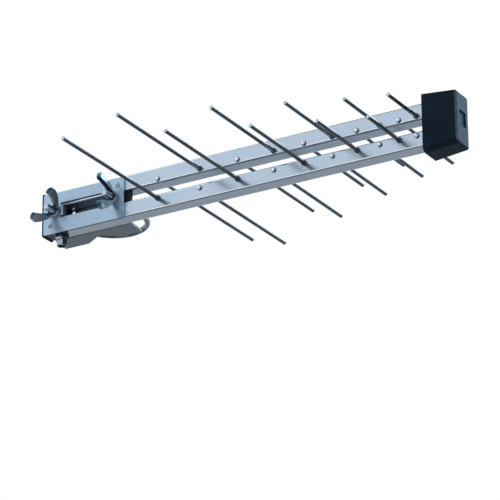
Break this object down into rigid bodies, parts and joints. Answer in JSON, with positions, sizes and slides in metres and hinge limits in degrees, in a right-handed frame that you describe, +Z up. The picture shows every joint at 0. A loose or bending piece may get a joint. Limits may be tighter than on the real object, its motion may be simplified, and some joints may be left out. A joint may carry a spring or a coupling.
{
  "type": "uhf log-periodic antenna",
  "caption": "Log-periodic television antenna: two stacked square booms, straight rods that shorten towards a drafted nose cap, a mast clamp with wing nuts and a coaxial socket below.",
  "frame": {"origin": "axis of the mast that the clamp takes, level with the middle of the gap between the booms", "axes": "+X along the booms from the clamp to the nose cap, +Y from the wing nuts' side to the mast's side, +Z up along the mast with the coaxial socket pointing down"},
  "size_m": [0.42, 0.318, 0.0567],
  "materials": {
    "aluminium": "extruded tube, satin",
    "rod_aluminium": "drawn rod, satin",
    "galvanised_steel": "galvanised sheet with fine spangle",
    "zinc_plated_steel": "bright zinc plate",
    "black_plastic": "moulded, satin",
    "black_rubber": "moulded",
    "white_plastic": "moulded",
    "nickel_plated_brass": "nickel plate",
    "brass": "plain",
    "cable_jacket": "white jacket"
  },
  "bodies": {
    "root": {"upper_boom": "aluminium", "lower_boom": "aluminium", "element_01_upper": "rod_aluminium", "element_01_lower": "rod_aluminium", "element_02_upper": "rod_aluminium", "element_02_lower": "rod_aluminium", "element_03_upper": "rod_aluminium", "element_03_lower": "rod_aluminium", "element_04_upper": "rod_aluminium", "element_04_lower": "rod_aluminium", "element_05_upper": "rod_aluminium", "element_05_lower": "rod_aluminium", "element_06_upper": "rod_aluminium", "element_06_lower": "rod_aluminium", "element_07_upper": "rod_aluminium", "element_07_lower": "rod_aluminium", "element_08_upper": "rod_aluminium", "element_08_lower": "rod_aluminium", "element_09_upper": "rod_aluminium", "element_09_lower": "rod_aluminium", "element_10_upper": "rod_aluminium", "element_10_lower": "rod_aluminium", "clamp_plate": "galvanised_steel", "plate_rivets": "rod_aluminium", "mast_saddle": "galvanised_steel", "u_bolt": "zinc_plated_steel", "washer_left": "zinc_plated_steel", "washer_right": "zinc_plated_steel", "wing_nut_left": "zinc_plated_steel", "wing_nut_right": "zinc_plated_steel", "boom_spacer": "black_plastic", "rear_end_cap": "black_plastic", "nose_cap": "black_plastic", "boom_carrier": "black_plastic", "socket_body": "nickel_plated_brass", "socket_gasket": "black_rubber", "socket_locknut": "nickel_plated_brass", "socket_insulator": "white_plastic", "socket_contact": "brass", "feeder_cable": "cable_jacket", "braid_lug": "brass", "core_link": "brass", "feed_screws": "zinc_plated_steel"}
  },
  "joints": []
}
